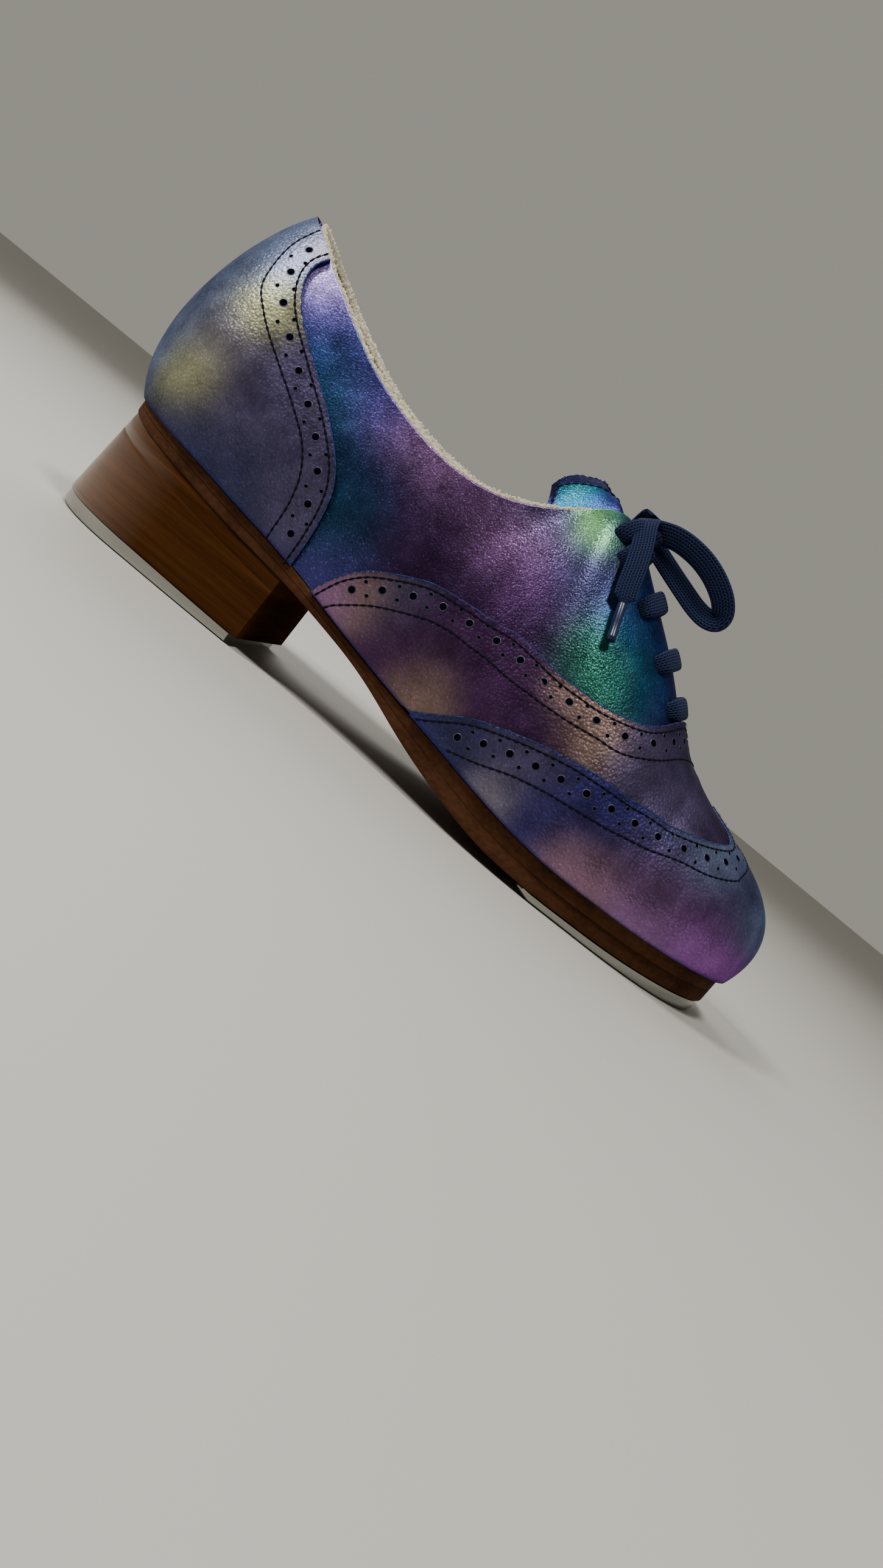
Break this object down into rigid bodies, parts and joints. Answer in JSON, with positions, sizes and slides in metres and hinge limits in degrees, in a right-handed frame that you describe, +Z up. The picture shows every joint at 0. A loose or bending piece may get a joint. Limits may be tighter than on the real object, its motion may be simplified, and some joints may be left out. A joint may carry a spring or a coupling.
{
  "type": "tap shoe",
  "caption": "Laced leather tap shoe for the right foot with a wing tip, double leather sole, low wooden heel and metal taps under toe and heel.",
  "frame": {"origin": "on the heel tap's flat face, on the floor below the heel seat", "axes": "+X from heel to toe, +Y towards the inner side of the foot, +Z up"},
  "size_m": [0.2678, 0.0924, 0.1175],
  "materials": {
    "upper_leather": "pearlised grained leather, glossy, violet to teal",
    "counter_leather": "pearlised leather, grey lavender with a gold gleam",
    "vamp_leather": "pearlised leather, dusty mauve with a gold gleam",
    "tip_leather": "pearlised leather, violet blue with a pink gleam",
    "tongue_leather": "pearlised leather, teal, with raw blue edges",
    "lining_insole": "cream fleece",
    "sole_leather": "brown sole leather with a fibrous edge",
    "heel_wood": "varnished reddish brown stacked heel",
    "tap_metal": "polished alloy",
    "screw_metal": "plain steel screws",
    "lace_cotton": "flat navy cotton lace",
    "aglet_plastic": "clear blue plastic"
  },
  "bodies": {
    "root": {"upper": "upper_leather", "heel_counter": "counter_leather", "vamp": "vamp_leather", "wing_tip": "tip_leather", "tongue": "tongue_leather", "insole": "lining_insole", "outsole": "sole_leather", "heel_block": "heel_wood", "heel_tap": "tap_metal", "toe_tap": "tap_metal", "heel_tap_screw_1": "screw_metal", "heel_tap_screw_2": "screw_metal", "heel_tap_screw_3": "screw_metal", "toe_tap_screw_1": "screw_metal", "toe_tap_screw_2": "screw_metal", "toe_tap_screw_3": "screw_metal", "lace_bar_1": "lace_cotton", "lace_bar_2": "lace_cotton", "lace_bar_3": "lace_cotton", "lace_bar_4": "lace_cotton", "lace_knot": "lace_cotton", "lace_loop_front": "lace_cotton", "lace_loop_inner": "lace_cotton", "lace_end_outer": "lace_cotton", "lace_end_inner": "lace_cotton", "aglet_outer": "aglet_plastic", "aglet_inner": "aglet_plastic"}
  },
  "joints": []
}
